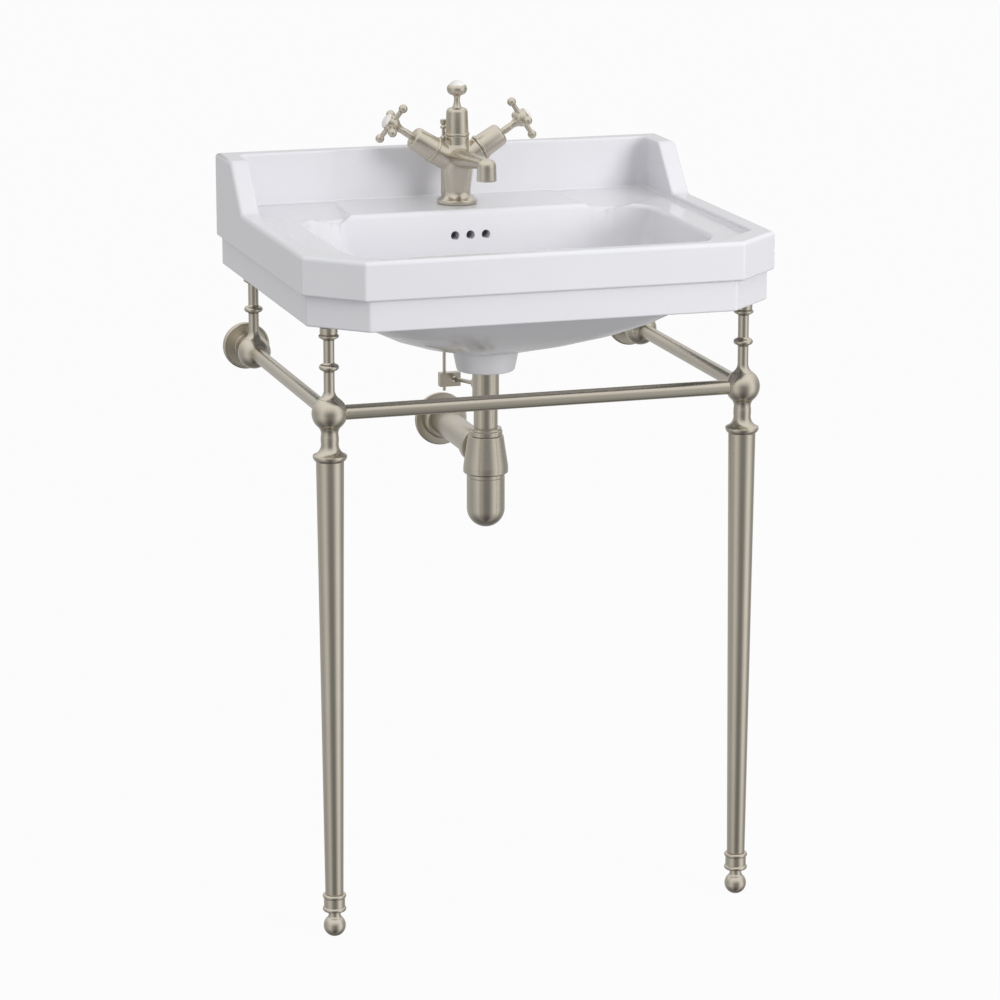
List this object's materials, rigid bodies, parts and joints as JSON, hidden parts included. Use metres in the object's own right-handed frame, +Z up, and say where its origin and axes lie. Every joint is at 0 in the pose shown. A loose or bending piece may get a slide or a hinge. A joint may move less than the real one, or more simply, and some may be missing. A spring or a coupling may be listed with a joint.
{
  "type": "basin with stand",
  "caption": "China washbasin with cut front corners and raised back on a two-legged metal stand, with a mixer tap, pop-up waste and bottle trap.",
  "frame": {"origin": "on the floor, midway between left and right and midway between wall and front", "axes": "+Z up, +Y towards the wall, +X to the right of a person at the basin"},
  "size_m": [0.56, 0.47, 0.941],
  "materials": {
    "glazed_china": "gloss glaze",
    "porcelain": "gloss glaze",
    "satin_nickel": "satin nickel plate on brass",
    "steel_fixings": "zinc plated",
    "rubber": "matt"
  },
  "bodies": {
    "frame": {"aerator": "satin_nickel", "back_hub_left": "satin_nickel", "back_hub_right": "satin_nickel", "back_posts": "satin_nickel", "ball_nut": "satin_nickel", "basin": "glazed_china", "bonnet_cold": "satin_nickel", "bonnet_hot": "satin_nickel", "bottle": "satin_nickel", "cartridge_cold": "satin_nickel", "cartridge_hot": "satin_nickel", "clamp_plate": "steel_fixings", "dip_tube": "satin_nickel", "finial": "satin_nickel", "finial_knob": "porcelain", "foot_left": "satin_nickel", "foot_right": "satin_nickel", "front_hub_left": "satin_nickel", "front_hub_right": "satin_nickel", "front_posts": "satin_nickel", "front_rail": "satin_nickel", "leg_caps": "satin_nickel", "leg_collars": "satin_nickel", "leg_left": "satin_nickel", "leg_right": "satin_nickel", "outlet_nut": "satin_nickel", "outlet_tube": "satin_nickel", "post_cups": "satin_nickel", "post_lock_rings": "satin_nickel", "post_pads": "rubber", "side_rail_left": "satin_nickel", "side_rail_right": "satin_nickel", "spout": "satin_nickel", "tap_body": "satin_nickel", "tap_gasket": "rubber", "tap_nut": "steel_fixings", "tap_stud": "steel_fixings", "tower": "satin_nickel", "trap_body": "satin_nickel", "trap_nut": "satin_nickel", "trap_seals": "rubber", "wall_escutcheon": "satin_nickel", "wall_flange_left": "satin_nickel", "wall_flange_right": "satin_nickel", "waste_body": "satin_nickel", "waste_nut": "satin_nickel", "waste_seal": "rubber", "waste_tail": "satin_nickel"},
    "hot_handle": {"spindle_hot": "satin_nickel", "handle_hot": "satin_nickel", "index_hot": "porcelain"},
    "cold_handle": {"spindle_cold": "satin_nickel", "handle_cold": "satin_nickel", "index_cold": "porcelain"},
    "lift_rod": {"lift_rod": "satin_nickel", "lift_knob": "satin_nickel", "rod_clamp": "satin_nickel"},
    "lever": {"lever": "satin_nickel"},
    "plug": {"plug": "satin_nickel"}
  },
  "joints": [
    {"name": "hot_turn", "type": "hinge", "parent": "frame", "child": "hot_handle", "pos_m": [0, 0.159, 0.8395], "axis": [-0.8415, 0, 0.5402], "range_deg": [0, 90]},
    {"name": "cold_turn", "type": "hinge", "parent": "frame", "child": "cold_handle", "pos_m": [0, 0.159, 0.8395], "axis": [0.8415, 0, 0.5402], "range_deg": [-90, 0]},
    {"name": "rod_lift", "type": "slide", "parent": "frame", "child": "lift_rod", "axis": [0, 0, 1], "range_m": [0, 0.03092]},
    {"name": "lever_rock", "type": "hinge", "parent": "frame", "child": "lever", "pos_m": [0, 0.066, 0.5875], "axis": [1, 0, 0], "range_deg": [-0.2, 16.2]},
    {"name": "plug_drop", "type": "slide", "parent": "frame", "child": "plug", "axis": [0, 0, 1], "range_m": [-0.0069, 0.0001]}
  ],
  "couplings": [
    {"joint": "lever_rock", "follows": "rod_lift", "rad_per_m": 9.0318},
    {"joint": "plug_drop", "follows": "rod_lift", "ratio": -0.21818}
  ]
}
